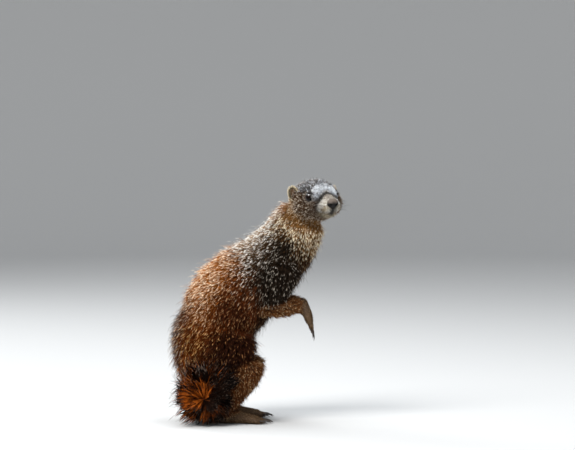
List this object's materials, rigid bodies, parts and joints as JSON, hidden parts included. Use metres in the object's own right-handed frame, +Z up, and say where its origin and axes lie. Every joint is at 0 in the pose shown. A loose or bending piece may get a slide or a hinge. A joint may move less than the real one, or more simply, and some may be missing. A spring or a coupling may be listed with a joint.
{
  "type": "yellow-bellied marmot",
  "caption": "Life-size standing marmot with its head turned to one side, forepaws held before the chest and bushy tail curled on the ground.",
  "frame": {"origin": "on the ground, under the middle of the whole animal's bounding box", "axes": "+X the way the body faces, +Y the animal's left side, +Z up; the head is turned 65 degrees to the animal's right"},
  "size_m": [0.3002, 0.2148, 0.4349],
  "materials": {
    "coat_rust": "rusty orange-brown fur, dark at the root, with pale and dark tips",
    "coat_grizzled": "grey-brown fur, grizzled with white and buff tips",
    "coat_face": "short grey-brown fur with a white band across the front of the eyes and a pale muzzle",
    "coat_tail": "long bushy fur, dark brown outside and rusty orange within",
    "coat_feet": "very short brown fur over bare dark soles",
    "nose_skin": "moist, finely pebbled bare skin",
    "eye": "wet, polished dark eye",
    "claw": "smooth dark horn"
  },
  "bodies": {
    "root": {"head": "coat_face", "lower_jaw": "coat_face", "nose": "nose_skin", "eye_right": "eye", "eye_left": "eye", "ear_right": "coat_face", "ear_left": "coat_face", "neck": "coat_grizzled", "trunk": "coat_rust", "tail_root": "coat_tail", "tail_middle": "coat_tail", "tail_end": "coat_tail", "upper_arm_right": "coat_grizzled", "forearm_right": "coat_rust", "forepaw_right": "coat_feet", "forepaw_right_claw_1": "claw", "forepaw_right_claw_2": "claw", "forepaw_right_claw_3": "claw", "forepaw_right_claw_4": "claw", "thigh_right": "coat_rust", "shank_right": "coat_rust", "hindfoot_right": "coat_feet", "hindfoot_right_claw_1": "claw", "hindfoot_right_claw_2": "claw", "hindfoot_right_claw_3": "claw", "hindfoot_right_claw_4": "claw", "hindfoot_right_claw_5": "claw", "upper_arm_left": "coat_grizzled", "forearm_left": "coat_rust", "forepaw_left": "coat_feet", "forepaw_left_claw_1": "claw", "forepaw_left_claw_2": "claw", "forepaw_left_claw_3": "claw", "forepaw_left_claw_4": "claw", "thigh_left": "coat_rust", "shank_left": "coat_rust", "hindfoot_left": "coat_feet", "hindfoot_left_claw_1": "claw", "hindfoot_left_claw_2": "claw", "hindfoot_left_claw_3": "claw", "hindfoot_left_claw_4": "claw", "hindfoot_left_claw_5": "claw"}
  },
  "joints": []
}
